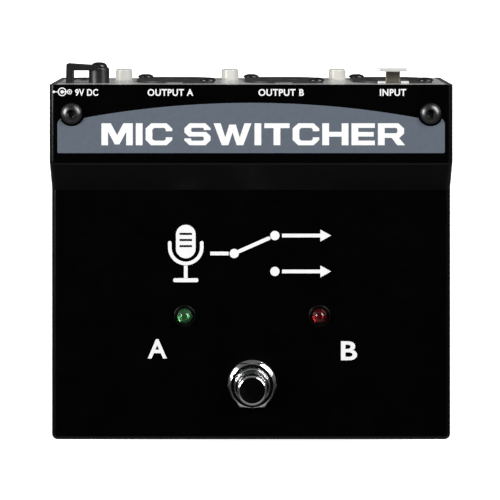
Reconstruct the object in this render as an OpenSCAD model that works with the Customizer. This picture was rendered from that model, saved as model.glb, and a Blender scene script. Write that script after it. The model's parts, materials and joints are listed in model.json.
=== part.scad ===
// Foot-operated microphone signal switcher in a folded steel case.
// +Z is up, +Y points to the connector panel, +X to the right.
// The origin is the centre of the underside of the rubber base pad.

/* [Case] */
// Width across the side walls
case_w = 133.5; // [131:0.5:136]
// Depth from the front wall to the rear edge
case_d = 119.4; // [117:0.1:122]
// Height of the upper (rear) deck
upper_z = 50.8; // [50.4:0.1:51.4]
// Height of the lower (front) deck
lower_z = 42.4; // [42:0.1:42.8]
// Sheet steel thickness
sheet = 1.9; // [1.6:0.1:1.9]
// Outer bend radius of the cover
bend_r = 1.8; // [1.2:0.1:2.2]
// Foot of the slope between the decks
riser_y0 = 24; // [22:0.5:25]
// Head of the slope between the decks
riser_y1 = 33.5; // [32:0.5:35]
// Thickness of the rubber base pad
pad_t = 2.4; // [2.4:0.1:2.4]

/* [Footswitch] */
// Distance of the footswitch from the centre line, to the right
foot_x = 0.35; // [-1:0.05:1]
// Position of the footswitch from the origin, negative to the front
foot_y = -41.05; // [-42:0.05:-40]
// Thread radius of the mounting bushing
bushing_r = 5.95; // [5.9:0.01:5.95]
// Nut size across flats
nut_af = 14.5; // [14:0.1:15]
// Cap radius
cap_r = 5.1; // [4.8:0.05:5.1]

/* [Indicators] */
// Half distance between the two lamps
led_dx = 22.55; // [20:0.05:25]
// Position of the lamps from the origin
led_y = -18.25; // [-19:0.05:-17]
// Lens radius
led_r = 2.5; // [2.4:0.05:2.5]

/* [Connectors] */
// Centre of the left output connector
out_a_x = -25.6; // [-26:0.1:-25.2]
// Centre of the right output connector
out_b_x = 11; // [10.6:0.1:11.4]
// Centre of the input connector
in_x = 47.6; // [47.2:0.1:47.8]
// Height of the connector axes
xlr_z = 26.6; // [26.4:0.1:26.8]
// Flange width
flange_w = 26.4; // [26.2:0.1:26.8]
// Flange height
flange_h = 31; // [30.5:0.1:31]
// Contact radius of a male connector
contact_r = 1.2; // [1.15:0.01:1.2]
// Pitch radius of the three contacts
contact_pitch = 3.95; // [3.8:0.01:4]

/* [Rear panel controls] */
// Centres of the three push buttons
button_xs = [-44, -7.3, 29.75];
// Height of the push button axes
button_z = 17.9; // [17.9:0.1:18]
// Button radius
button_r = 3; // [2.8:0.05:3]
// Centre of the power jack
jack_x = -57.5; // [-57.6:0.1:-57.4]
// Height of the power jack axis
jack_z = 20.1; // [20:0.1:20.1]

/* [Hidden] */
$fn = 72;

// Case planes
rear_y = 59.5;
front_y = rear_y - case_d;
half_w = case_w / 2;
panel_y = rear_y - 0.05;
panel_in = panel_y - sheet;
plate_z = pad_t;
plate_top = plate_z + sheet;
plate_hw = half_w - sheet - 0.1;
deck_under = lower_z - sheet;
flap_top = upper_z - sheet - 0.05;
riser_a = atan2(upper_z - lower_z, riser_y1 - riser_y0);

// Circuit boards
board_t = 1.6;
board_z = 12;
board_top = board_z + board_t;
led_board_z = 33;
led_board_top = led_board_z + board_t;

// Small screws and nuts used all over
small_hole_r = 1.6;
small_shank_r = 1.45;
small_bore_r = 1.5;
small_nut_af = 5.5;
small_nut_h = 2.3;

// Fastener places [x, y]
function cover_screw_at(side) = [side * 59.3, 50];
foot_screws = [for (side = [-1, 1]) [side * 50, -52]];
standoffs = [[-57, 33], [57, 33], [-57, -22], [57, -22]];

// ---- helpers -------------------------------------------------------------

function unit(vector) = vector / norm(vector);

function polar(radius, angle) = radius * [cos(angle), sin(angle)];

// The corner at point, between its neighbours, turned into an arc
function corner(before, point, after, radius, steps) =
    radius <= 0 ? [point] :
    let (to_before = unit(before - point),
         to_after = unit(after - point),
         half = acos(to_before * to_after) / 2,
         centre = point + unit(to_before + to_after) * (radius / sin(half)),
         start = point + to_before * (radius / tan(half)) - centre,
         end = point + to_after * (radius / tan(half)) - centre,
         start_a = atan2(start[1], start[0]),
         turn = atan2(end[1], end[0]) - start_a,
         sweep = turn > 180 ? turn - 360 : turn < -180 ? turn + 360 : turn)
    [for (i = [0:steps]) centre + polar(radius, start_a + sweep * i / steps)];

// A closed outline from corners given as [x, y, radius]
function rounded(corners, steps = 6) =
    let (count = len(corners), xy = [for (p = corners) [p[0], p[1]]])
    [for (i = [0:count - 1])
        each corner(xy[(i + count - 1) % count], xy[i], xy[(i + 1) % count],
            corners[i][2], steps)];

// The outline of a rectangle with rounded corners
function plate(x0, x1, y0, y1, radius) =
    rounded([[x0, y0, radius], [x1, y0, radius], [x1, y1, radius], [x0, y1, radius]]);

module at_x(x) translate([x, 0, 0]) children();

// Moves to a place [x, y]
module at_xy(at) translate([at[0], at[1], 0]) children();

// Moves to a place [x, y] on top of the main board
module on_board(at) translate([at[0], at[1], board_top]) children();

// Lays the Z axis along Y, through [x, z]
module along_y(at) translate([at[0], 0, at[1]]) rotate([-90, 0, 0]) children();

module box(x0, x1, y0, y1, z0, z1)
    translate([x0, y0, z0]) cube([x1 - x0, y1 - y0, z1 - z0]);

// A box with its middle at x = 0
module mid_box(half_x, y0, y1, z0, z1) box(-half_x, half_x, y0, y1, z0, z1);

// A cylinder along X through [y, z]
module xcyl(radius, x0, x1, at)
    translate([x0, at[0], at[1]]) rotate([0, 90, 0]) cylinder(r = radius, h = x1 - x0);

// A cylinder along Y through [x, z]
module ycyl(radius, y0, y1, at)
    along_y(at) translate([0, 0, y0]) cylinder(r = radius, h = y1 - y0);

// A cylinder along Z through [x, y]
module zcyl(radius, z0, z1, at = [0, 0])
    translate([at[0], at[1], z0]) cylinder(r = radius, h = z1 - z0);

// A [y, z] outline, drawn out from x0 to x1
module extrude_x(points, x0, x1)
    translate([x0, 0, 0]) rotate([90, 0, 90]) linear_extrude(x1 - x0) polygon(points);

// An [x, z] outline, drawn out from y0 to y1
module extrude_y(points, y0, y1)
    translate([0, y1, 0]) rotate([90, 0, 0]) linear_extrude(y1 - y0) polygon(points);

// An [x, y] outline, drawn out from z0 to z1
module extrude_z(points, z0, z1)
    translate([0, 0, z0]) linear_extrude(z1 - z0) polygon(points);

// An outline [radius, y] turned round an axis along Y through [x, z]
module yturn(points, at) along_y(at) rotate_extrude() polygon(points);

// An outline [radius, z] turned round the Z axis
module zturn(points) rotate_extrude() polygon(points);

// A hexagonal nut along Z with both rims chamfered, corners on the X axis
module hex_nut(across, z0, z1, bore) {
    corner_r = across / 2 / cos(30);
    chamfer = (corner_r - across / 2) * tan(30) + 0.15;
    face_r = across / 2 * 0.98;
    difference() {
        intersection() {
            translate([0, 0, z0]) cylinder(r = corner_r, h = z1 - z0, $fn = 6);
            zturn([[0, z0], [face_r, z0], [corner_r + 0.01, z0 + chamfer],
                [corner_r + 0.01, z1 - chamfer], [face_r, z1], [0, z1]]);
        }
        zcyl(bore, z0 - 1, z1 + 1);
    }
}

// A plain small nut against the inside of the connector panel, at [x, z]
module panel_nut(at) along_y(at) translate([0, 0, panel_in - small_nut_h])
    difference() {
        cylinder(r = small_nut_af / 2 / cos(30), h = small_nut_h, $fn = 6);
        translate([0, 0, -1]) cylinder(r = small_bore_r, h = small_nut_h + 2);
    }

// The [radius, z] outline of a screw: domed head above z, shank below it
function screw_line(head_r, head_h, shank_r, length, z) =
    let (rim_z = z + head_h * 0.22, dome_h = head_h * 0.78, dome_a = 70.2)
    concat(
        [[0, z - length], [shank_r - 0.35, z - length],
         [shank_r, z - length + 0.35], [shank_r, z], [head_r, z], [head_r, rim_z]],
        [for (i = [1:7]) let (a = dome_a * i / 7)
            [head_r * cos(a) * 0.985, rim_z + dome_h * sin(a) / sin(dome_a)]],
        [[0, z + head_h]]);

// A cross recess for a driver, along Z, cut down from z
module cross_recess(z, depth, width = 0.6, reach = 1.3) {
    mid_box(reach, -width / 2, width / 2, z - depth, z + 1);
    mid_box(width / 2, -reach, reach, z - depth, z + 1);
}

// A coil of round wire along Z
module coil(radius, wire_r, z0, z1, turns) {
    sides = 8;
    steps = turns * 20;
    points = [for (i = [0:steps])
        let (a = 360 * turns * i / steps,
             z = z0 + wire_r + (z1 - z0 - 2 * wire_r) * i / steps)
        for (j = [0:sides - 1])
            let (wire = polar(wire_r, 360 * j / sides))
            [(radius + wire[0]) * cos(a), (radius + wire[0]) * sin(a), z + wire[1]]];
    faces = concat(
        [[for (j = [0:sides - 1]) j]],
        [[for (j = [0:sides - 1]) steps * sides + sides - 1 - j]],
        [for (i = [0:steps - 1]) for (j = [0:sides - 1])
            let (here = i * sides + j, next = i * sides + (j + 1) % sides)
            each [[here, next + sides, next], [here, here + sides, next + sides]]]);
    polyhedron(points = points, faces = faces, convexity = 10);
}

// ---- case ----------------------------------------------------------------

cover_z = 2.6;             // lower edge of the cover
bend_x = half_w - bend_r;  // axes of the bends along the sides
foot_hole_r = 6.1;
led_hole_r = 3.3;
cover_hole_r = 2.15;

// Lower block of the cover, rounded along its folds
module cover_low() {
    fold_y = front_y + bend_r;
    fold_z = lower_z - bend_r;
    hull() {
        for (side = [-1, 1]) at_x(side * bend_x) {
            ycyl(bend_r, fold_y, rear_y, [0, fold_z], $fn = 32);
            zcyl(bend_r, cover_z, fold_z, [0, fold_y], $fn = 32);
            mid_box(bend_r, rear_y - 1, rear_y, cover_z, cover_z + 1);
        }
        xcyl(bend_r, -bend_x, bend_x, [fold_y, fold_z], $fn = 32);
    }
}

// Raised rear part of the cover with its sloping front
module cover_high() {
    shift = bend_r * tan(riser_a / 2);
    fold_y = riser_y1 + shift;
    fold_z = upper_z - bend_r;
    slope = norm([riser_y1 - riser_y0, upper_z - lower_z]);
    block_z = 20; // underside of the block, inside the lower one
    hull() {
        for (side = [-1, 1]) at_x(side * bend_x) {
            ycyl(bend_r, fold_y, rear_y, [0, fold_z], $fn = 32);
            translate([0, riser_y0 + shift, lower_z - bend_r])
                rotate([riser_a - 90, 0, 0])
                cylinder(r = bend_r, h = slope, $fn = 32);
            for (y = [rear_y - 1, riser_y0 + 4])
                mid_box(bend_r, y, y + 1, block_z, block_z + 1);
        }
        xcyl(bend_r, -bend_x, bend_x, [fold_y, fold_z], $fn = 32);
    }
}

module top_cover() color("#101012") {
    inner_hw = half_w - sheet;
    shift = sheet * tan(riser_a / 2);
    difference() {
        union() {
            cover_low();
            cover_high();
        }
        extrude_x(rounded([
            [front_y + sheet, 0, 0], [front_y + sheet, deck_under, 0.4],
            [riser_y0 + shift, deck_under, 2.5],
            [riser_y1 + shift, upper_z - sheet, 0.4],
            [rear_y + 2, upper_z - sheet, 0], [rear_y + 2, 0, 0]], 4),
            -inner_hw, inner_hw);
        // the front wall stops on the base plate
        mid_box(inner_hw, front_y - 1, front_y + sheet + 1, 0, plate_top);
        for (side = [-1, 1])
            zcyl(cover_hole_r, upper_z - 5, upper_z + 5, cover_screw_at(side));
        at_foot() zcyl(foot_hole_r, lower_z - 5, lower_z + 5);
        each_led() zcyl(led_hole_r, lower_z - 5, lower_z + 5);
    }
    // inward lip that carries the two bottom screws
    difference() {
        mid_box(inner_hw - 0.6, front_y + sheet - 0.3, -45, plate_top, plate_top + sheet);
        for (at = foot_screws) zcyl(small_hole_r, 0, 12, at);
    }
}

// A round hole through the connector panel at [x, z]
module panel_hole(radius, at) ycyl(radius, panel_in - 1, panel_y + 1, at);

// Base plate, connector panel and the flap folded forward under the upper deck
module base_chassis() color("#b4b6b8") {
    edge_y = front_y + 0.1;
    flap_y = 42;
    flap_under = flap_top - sheet;
    outer_r = 2.1;
    inner_r = 0.3;
    difference() {
        extrude_x(rounded([
            [edge_y, plate_z, 0], [panel_y, plate_z, outer_r],
            [panel_y, flap_top, outer_r], [flap_y, flap_top, 0],
            [flap_y, flap_under, 0], [panel_in, flap_under, inner_r],
            [panel_in, plate_top, inner_r], [edge_y, plate_top, 0]], 5),
            -plate_hw, plate_hw);
        for (x = xlr_xs) at_x(x) {
            panel_hole(12, xlr_axis);
            for (side = [-1, 1]) panel_hole(small_hole_r, ear_at(side));
        }
        // slot for the release tab of the input
        at_x(in_x) mid_box(3, panel_in - 1, panel_y + 1, 36, 41.2);
        for (x = button_xs) panel_hole(3.3, [x, button_z]);
        panel_hole(4.6, [jack_x, jack_z]);
        panel_hole(small_hole_r, clamp_at);
        for (side = [-1, 1])
            zcyl(cover_hole_r, flap_under - 1, flap_top + 1, cover_screw_at(side));
        for (at = foot_screws) zcyl(small_hole_r, 0, 8, at);
        for (at = standoffs) zcyl(1.55, 0, 8, at);
    }
}

module base_pad() color("#1c1c1d") difference() {
    extrude_z(plate(-plate_hw, plate_hw, -58, 58, 2.5), 0, pad_t);
    for (at = foot_screws) zcyl(4.5, -1, 5, at);
    for (at = standoffs) zcyl(3.6, -1, 5, at);
}

// Domed screws with a hexagonal socket
module cover_screws() color("#3a3a3c") for (side = [-1, 1])
    at_xy(cover_screw_at(side)) difference() {
        zturn(screw_line(head_r = 3.52, head_h = 2.2, shank_r = 2, length = 7.6,
            z = upper_z));
        translate([0, 0, upper_z + 0.9]) rotate([0, 0, side * 11])
            cylinder(r = 2.5 / 2 / cos(30), h = 3, $fn = 6);
    }

// Round nuts under the flap of the chassis
module clinch_nuts() color("#b9bab6") for (side = [-1, 1])
    at_xy(cover_screw_at(side)) difference() {
        top = flap_top - sheet;
        nut_r = 3.4;
        zturn(rounded([[0, top - 3, 0], [nut_r, top - 3, 0.5],
            [nut_r, top, 0], [0, top, 0]], 3));
        zcyl(2.03, top - 5, top + 1);
    }

module bottom_screws() color("#3a3a3c") for (at = foot_screws)
    at_xy(at) mirror([0, 0, 1]) difference() {
        zturn(screw_line(head_r = 2.8, head_h = 1.6, shank_r = small_shank_r,
            length = 6.4, z = -plate_z));
        cross_recess(-plate_z + 1.7, 0.9, width = 0.75, reach = 1.5);
    }

module bottom_nuts() color("#b9bab6") for (at = foot_screws) at_xy(at)
    hex_nut(small_nut_af, plate_top + sheet, plate_top + sheet + small_nut_h,
        small_bore_r);

// ---- footswitch ----------------------------------------------------------

// Levels of the stack, from the body up
body_z = 17;
body_top = 33;
frame_top = body_top + 0.8;
collar_z = 37;        // underside of the collar on the cap stem
inner_nut_z = 37.3;
lock_washer_z = 39.8;
nut_z = 43.2;
nut_bore_r = 6;
washer_r = 6.05;      // bore of both washers
stem_hole_r = 3.2;
frame_x = 8.35;       // middle of each side strip of the frame
lug_pitch = 5;
lug_half_t = 0.4;

module at_foot() at_xy([foot_x, foot_y]) children();

// Stem with a collar, plunger and wider domed top
module footswitch_cap() color("#c9cacb") at_foot() {
    edge_r = 1.3;
    crown_r = cap_r - 1.1;
    zturn(concat(
        [[0, 28.6], [1.1, 28.6], [1.4, 28.9], [1.4, collar_z], [4.5, collar_z],
         [4.5, 38], [4, 38], [4, 50.2], [cap_r - 0.35, 50.2], [cap_r, 50.55]],
        [for (i = [0:8]) [cap_r - edge_r, 52.8] + polar(edge_r, 10 * i)],
        [for (i = [1:5]) let (part = 1 - i / 5)
            [crown_r * part, 54.25 - 0.16 * pow(part, 2)]]));
}

module footswitch_spring() color("#a9abad") at_foot()
    coil(radius = 2.35, wire_r = 0.32, z0 = 25.05, z1 = collar_z - 0.05, turns = 6);

module footswitch_bushing() color("#c4c5c6") at_foot() zturn([
    [4.65, frame_top], [bushing_r, frame_top], [bushing_r, 46.55],
    [bushing_r - 0.35, 46.9], [4.35, 46.9], [4.06, 46.6], [4.06, 38.06],
    [4.65, 38.06]]);

module footswitch_nut() color("#c9cacb") at_foot()
    hex_nut(nut_af, nut_z, 45.9, nut_bore_r);

module footswitch_washer() color("#c9cacb") at_foot() zturn([
    [washer_r, lower_z], [8.05, lower_z], [8.05, 42.5], [7, nut_z],
    [washer_r, nut_z]]);

// Washer with twelve notches round its rim
module footswitch_lock_washer() color("#a9abad") at_foot() difference() {
    zturn([[washer_r, lock_washer_z], [8.3, lock_washer_z], [8.3, deck_under],
        [washer_r, deck_under]]);
    for (i = [0:11]) rotate([0, 0, i * 30 + 15]) box(7.3, 9, -0.7, 0.7, 39, 42);
}

module footswitch_inner_nut() color("#c9cacb") at_foot()
    hex_nut(nut_af, inner_nut_z, lock_washer_z, nut_bore_r);

module footswitch_frame() color("#b9bab6") at_foot() difference() {
    union() {
        mid_box(8.65, -8.65, 8.65, body_top, frame_top);
        for (side = [-1, 1]) at_x(side * frame_x)
            mid_box(0.3, -6, 6, 20, body_top + 0.2);
    }
    zcyl(stem_hole_r, 30, 36);
    for (side = [-1, 1]) at_x(side * frame_x) xcyl(1.5, -1, 1, [0, 23]);
}

module footswitch_body() color("#26436e") at_foot() difference() {
    body_hy = 8.6;
    mid_box(8, -body_hy, body_hy, body_z, body_top);
    zcyl(stem_hole_r, 25, 34);
    // joint line between the two moulded halves
    for (side = [-1, 1])
        mid_box(9, side * body_hy - 0.25, side * body_hy + 0.25, 22, 22.6);
}

// Nine lugs, each with an eye
module footswitch_terminals() color("#c8b070") at_foot()
    for (i = [-1:1]) for (j = [-1:1])
        at_xy(lug_pitch * [i, j]) difference() {
            mid_box(1, -lug_half_t, lug_half_t, 12.4, body_z);
            ycyl(0.5, -1, 1, [0, 13.8]);
        }

// ---- indicators ----------------------------------------------------------

lead_dx = 1.27;   // half distance between the leads of a lamp
lead_hole_r = 0.45;
lamp_z = 36.4;    // underside of the lamps
led_post_x = 12;  // distance of the two board posts from x = 0

module at_led(side) at_xy([foot_x + side * led_dx, led_y]) children();

module each_led() for (side = [-1, 1]) at_led(side) children();

module each_lead() for (side = [-1, 1]) at_x(side * lead_dx) children();

module led(side) at_led(side) zturn(concat(
    [[0, lamp_z], [2.9, lamp_z], [2.9, 37.4], [led_r, 37.4]],
    [for (i = [0:12]) [0, 43] + polar(led_r, 90 * i / 12)]));

module led_green() color("#3f6b48") led(-1);
module led_red() color("#5a0d10") led(1);

module led_bezels() color("#141415") each_led() zturn([
    [2.56, 37.5], [3.2, 37.5], [3.2, lower_z], [3.6, lower_z],
    [3.6, lower_z + 0.12], [3.45, lower_z + 0.22], [3.25, lower_z + 0.22],
    [2.56, lower_z - 0.18]]);

module led_leads() color("#c0c0c0") each_led() each_lead()
    mid_box(0.25, -0.25, 0.25, 31.6, lamp_z - 0.02);

module led_spacers() color("#e4e2dc") each_led() difference() {
    zcyl(2.9, led_board_top, lamp_z - 0.05);
    each_lead() zcyl(lead_hole_r, 34, 37);
}

module led_board() color("#1f5a36") difference() {
    extrude_z(plate(foot_x - 28, foot_x + 28, led_y - 5.5, led_y + 5.5, 1),
        led_board_z, led_board_top);
    each_led() each_lead() zcyl(lead_hole_r, 32, 36);
    for (side = [-1, 1]) zcyl(1.6, 32, 36, [side * led_post_x, led_y]);
}

// Hexagonal posts with a round snap head above the lamp board
module led_standoffs() color("#d8d6cf") for (side = [-1, 1])
    at_xy([side * led_post_x, led_y]) {
        translate([0, 0, board_top])
            cylinder(r = 2.75 / cos(30), h = led_board_z - board_top, $fn = 6);
        zturn([[0, 32.9], [1.45, 32.9], [1.45, led_board_top], [2.1, 34.7],
            [2.1, 35.3], [1.4, 36.2], [0, 36.2]]);
    }

// ---- three-pole round connectors -----------------------------------------
// Each is drawn with its axis at x = 0 and then moved along X.

xlr_xs = [out_a_x, out_b_x, in_x];
xlr_axis = [0, xlr_z];
flange_y = panel_y + 0.7;
ring_y = flange_y + 0.15;       // outer face of the raised ring
shell_back = 41;
shell_r = 11.5;
male_bore_r = 8.1;
input_bore_r = 9.6;
floor_y = 46.5;                 // bottom of the cup of an output
root_r = contact_r + 0.25;
tail_y = 39.7;
tail_half = 0.4;
tail_z = 10.8;                  // lower end of the solder tails
// Contact places [x, z]
contacts = [for (a = [15, 165, 270]) xlr_axis + polar(contact_pitch, a)];
// Latch of the input
pivot = [48.6, 38.6];           // [y, z] of the latch pin
latch_hw = 1;
tab_hw = 5.2;

// Place [x, z] of the upper right (1) or lower left (-1) flange screw
function ear_at(side) = xlr_axis + side * [11, 12];

// Flange with two screw corners, barrel and raised ring
module xlr_body(bore_r) {
    hw = flange_w / 2;
    hh = flange_h / 2;
    translate([0, 0, xlr_z]) extrude_y(
        rounded([[-hw, -hh, 2.8], [hw, -hh, 10], [hw, hh, 2.8], [-hw, hh, 10]], 8),
        panel_y, flange_y);
    yturn([[bore_r + 0.8, shell_back], [shell_r, shell_back],
        [shell_r, ring_y - 0.15], [shell_r - 0.15, ring_y],
        [bore_r + 0.8, ring_y]], xlr_axis);
}

// Inner part of the barrel
module xlr_liner(radius) ycyl(radius, shell_back + 0.01, ring_y - 0.01, xlr_axis);

// Cut for the chamfered mouth of a bore
module mouth(bore_r, wide_r) yturn([[0, ring_y - 0.6], [bore_r, ring_y - 0.6],
    [wide_r, ring_y + 0.1], [0, ring_y + 0.1]], xlr_axis);

module flange_holes() for (side = [-1, 1])
    ycyl(small_hole_r, panel_y - 1, ring_y + 1, ear_at(side));

module male_shell() {
    difference() {
        union() {
            xlr_body(male_bore_r);
            xlr_liner(9.4);
        }
        ycyl(male_bore_r, shell_back - 1, ring_y + 1, xlr_axis);
        mouth(male_bore_r, 8.8);
        // catch window for the plug's latch
        mid_box(2.2, 54.5, 58, xlr_z + 6, xlr_z + 9.4);
        flange_holes();
    }
    // orientation key
    mid_box(1, 48.5, ring_y - 1.2, xlr_z - 8.6, xlr_z - 7.2);
}

module male_insert() difference() {
    ycyl(8.06, shell_back + 0.2, floor_y, xlr_axis);
    for (at = contacts) ycyl(root_r + 0.02, 40, 48, at);
}

// Solder tail of the contact at [x, z], bent down through the board
module tail(at) at_x(at[0]) {
    mid_box(tail_half, tail_y - tail_half, shell_back + 0.35,
        at[1] - tail_half, at[1] + tail_half);
    mid_box(tail_half, tail_y - tail_half, tail_y + tail_half,
        tail_z, at[1] + tail_half);
}

// A thicker root seats each contact in the cup floor
module male_pins() for (at = contacts) {
    yturn([[0, shell_back], [root_r, shell_back], [root_r, floor_y],
        [contact_r, floor_y], [contact_r, 58.5], [contact_r * 0.8, 59.05],
        [contact_r * 0.4, 59.35], [0, 59.4]], at);
    tail(at);
}

module output_a_shell() color("#18181a") at_x(out_a_x) male_shell();
module output_a_insert() color("#121212") at_x(out_a_x) male_insert();
module output_a_pins() color("#c8ccd0") at_x(out_a_x) male_pins();
module output_b_shell() color("#18181a") at_x(out_b_x) male_shell();
module output_b_insert() color("#121212") at_x(out_b_x) male_insert();
module output_b_pins() color("#c8ccd0") at_x(out_b_x) male_pins();

module input_shell() color("#18181a") at_x(in_x) difference() {
    union() {
        xlr_body(input_bore_r);
        xlr_liner(10.6);
        // cheeks that carry the latch pin
        mid_box(4.4, 44, panel_in - 0.1, xlr_z + 9, 41);
    }
    ycyl(input_bore_r, 44, ring_y + 1, xlr_axis);
    ycyl(8, shell_back - 1, 45, xlr_axis);
    mouth(input_bore_r, 10.3);
    // channel of the latch, open to the bore
    mid_box(1.35, 46.6, panel_in + 0.5, xlr_z + 7, 43);
    mid_box(2.75, 46, panel_in + 0.5, 38.3, 43);
    xcyl(0.62, -3.9, 3.9, pivot);
    // passage of the release tab and seat of its guide plate
    mid_box(2.7, panel_y - 1, ring_y + 1, 38.6, 40.3);
    mid_box(tab_hw + 0.05, panel_y - 1, ring_y + 1, 37.55, 43);
    flange_holes();
}

module input_insert() color("#121212") at_x(in_x) difference() {
    ycyl(7.9, shell_back + 0.2, 59.4, xlr_axis);
    for (at = contacts) {
        ycyl(1.85, 40, 57.4, at);
        ycyl(1.4, 57, 60, at);
    }
    // keyway along the bottom
    mid_box(1.25, 46, 60, xlr_z - 9, xlr_z - 6.9);
}

// Sleeves open to the rear panel side, each on a thin stem
module input_contacts() color("#d9b65a") at_x(in_x) for (at = contacts) {
    yturn([[0, 42], [1.8, 42], [1.8, 57.35], [1.22, 57.35], [1.22, 44], [0, 44]], at);
    ycyl(0.5, shell_back, 42.2, at);
    tail(at);
}

module input_release_tab() color("#c4c5c6") at_x(in_x) {
    extrude_y(plate(-tab_hw, tab_hw, 38.25, 42.6, 0.9), 63.4, 64.4);
    // forked stem
    difference() {
        mid_box(2.4, 52, 63.5, 38.9, 40);
        mid_box(1.3, 51, 58.8, 38, 41);
    }
}

module input_latch() color("#b9bab6") at_x(in_x) difference() {
    union() {
        extrude_x(rounded([[55.8, 35.4, 0.25], [55.8, 38.6, 0.5], [49, 38.75, 0],
            [49, 37.2, 0], [54.5, 37.2, 0.3], [54.5, 36.2, 0]], 4),
            -latch_hw, latch_hw);
        xcyl(1.35, -latch_hw, latch_hw, pivot);
        // ear that the tab pushes
        difference() {
            mid_box(2.3, 47.7, 49.2, 39.35, 40.5);
            xcyl(0.75, -3, 3, pivot);
        }
    }
    xcyl(0.65, -3, 3, pivot);
}

module input_latch_pin() color("#c9cacb") at_x(in_x) xcyl(0.6, -3.85, 3.85, pivot);

// Bright plate, forked round the stem of the release tab
module input_latch_guide() color("#c4c5c6") at_x(in_x) {
    slot_hw = 2.65;
    top = 42.35;
    extrude_y(rounded([[-tab_hw, 37.6, 0.2], [tab_hw, 37.6, 0.2], [tab_hw, top, 0.2],
        [slot_hw, top, 0.1], [slot_hw, 38.65, 0.3], [-slot_hw, 38.65, 0.3],
        [-slot_hw, top, 0.1], [-tab_hw, top, 0.2]]),
        panel_y + 0.05, flange_y - 0.05);
}

module connector_screws() color("#202022")
    for (x = xlr_xs) at_x(x) for (side = [-1, 1])
        along_y(ear_at(side)) difference() {
            zturn(screw_line(head_r = 2.7, head_h = 1.15, shank_r = small_shank_r,
                length = 5.2, z = flange_y));
            rotate([0, 0, 24 + side * 30]) cross_recess(flange_y + 1.2, 0.75);
        }

module connector_nuts() color("#b9bab6")
    for (x = xlr_xs) at_x(x) for (side = [-1, 1]) panel_nut(ear_at(side));

// ---- push buttons --------------------------------------------------------

// Round button on a square stem
module button(x) at_x(x) {
    yturn([[0, 57.4], [button_r - 0.1, 57.4], [button_r, 57.5], [button_r, 62.6],
        [button_r - 0.2, 63], [button_r - 0.6, 63.2], [0, 63.25]], [0, button_z]);
    mid_box(1.5, 50.5, 57.5, button_z - 1.5, button_z + 1.5);
}

module button_left() color("#dcd5bf") button(button_xs[0]);
module button_centre() color("#dcd5bf") button(button_xs[1]);
module button_right() color("#dcd5bf") button(button_xs[2]);

module button_switches() color("#2b2b2c") for (x = button_xs) at_x(x) difference() {
    union() {
        mid_box(4.2, 44, 53.6, board_top, 22.2);
        mid_box(2.6, 53.5, 54.3, button_z - 2.6, button_z + 2.6);
    }
    mid_box(1.7, 47, 55, button_z - 1.7, button_z + 1.7);
}

// ---- power jack and cable clamp ------------------------------------------

jack_axis = [0, jack_z];
jack_bore_r = 3.2;
jack_floor_y = 49.5;
clamp_at = [-51.15, 38];  // [x, z] of the clamp screw
clamp_seat_y = 64.8;      // seat of the screw head

module dc_jack_body() color("#141415") at_x(jack_x) difference() {
    union() {
        mid_box(4.5, 43.2, panel_in - 0.1, board_top, 24.9);
        yturn([[0, 57], [4.4, 57], [4.4, 59.9], [4.1, 60.2], [0, 60.2]], jack_axis);
    }
    ycyl(jack_bore_r, jack_floor_y, 61, jack_axis);
    yturn([[0, 59.7], [jack_bore_r, 59.7], [3.75, 60.3], [0, 60.3]], jack_axis);
    // seats of the centre pin and of the spring contact
    ycyl(1.32, 42, 50, jack_axis);
    mid_box(1.25, jack_floor_y, 57, jack_z + 2.5, jack_z + 3.75);
}

module dc_jack_contacts() color("#c8ccd0") at_x(jack_x) {
    yturn([[0, 42.6], [1.3, 42.6], [1.3, jack_floor_y], [1.05, jack_floor_y],
        [1.05, 58.6], [0.7, 59.1], [0, 59.2]], jack_axis);
    mid_box(1, 42.2, 42.8, tail_z, jack_z + 1);
    mid_box(1.2, jack_floor_y + 0.1, 56.9, jack_z + 3.3, jack_z + 3.7);
}

module cable_clamp() color("#161617") difference() {
    union() {
        // strap over the cable
        extrude_z(rounded([
            [-62.05, panel_y, 0.2], [-59.8, panel_y, 0.1], [-59.8, 63.7, 0.2],
            [-54.4, 63.7, 0], [clamp_at[0], 63.7, 0], [clamp_at[0], 65.3, 0],
            [-61.95, 66.05, 0.45]], 5), 34.55, 41.45);
        // round post that the screw goes through
        yturn([[0, panel_y], [3.45, panel_y], [3.45, 64.05], [3.2, 64.6],
            [2.7, clamp_seat_y], [0, clamp_seat_y]], clamp_at);
    }
    ycyl(small_hole_r, panel_y - 1, 67, clamp_at);
    ycyl(2.95, clamp_seat_y, 67, clamp_at);
}

module clamp_screw() color("#202022") along_y(clamp_at) difference() {
    zturn(screw_line(head_r = 2.75, head_h = 1.6, shank_r = small_shank_r,
        length = 10.3, z = clamp_seat_y));
    rotate([0, 0, 35]) cross_recess(clamp_seat_y + 1.7, 1, reach = 1.4);
}

module clamp_nut() color("#b9bab6") panel_nut(clamp_at);

// ---- electronics ---------------------------------------------------------

// Part centres [x, y] on the main board
transformer_at = [-28, 11];
relays_at = [[6, 11], [20, 11]];
converter_at = [-50, 6];
capacitors_at = [[33, 27], [42, 27], [33, -2], [42, -2], [51, 6], [-44, 27],
    [-12, 27], [2, 28]];
chips_at = [[40, 14], [-44, -22], [30, -22]];
can_z = 2.8;          // underside of the transformer can above the board
header_y = -25.6;     // footswitch header
header_hy = 1.4;

module main_board() color("#1f5a36") difference() {
    extrude_z(plate(-62, 62, -28, 54.5, 1.5), board_z, board_top);
    for (at = standoffs) zcyl(1.6, 10, 15, at);
    for (x = xlr_xs) at_x(x) for (at = contacts) zcyl(0.8, 10, 15, [at[0], tail_y]);
    at_x(jack_x) mid_box(1.2, 42, 43, 10, 15);
}

module board_standoffs() color("#c8ccd0") for (at = standoffs)
    at_xy(at) difference() {
        union() {
            translate([0, 0, plate_top])
                cylinder(r = 2.75 / cos(30), h = board_z - plate_top, $fn = 6);
            zcyl(1.5, plate_z, plate_top + 1);
        }
        zcyl(1.27, 6.5, 14);
    }

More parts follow.
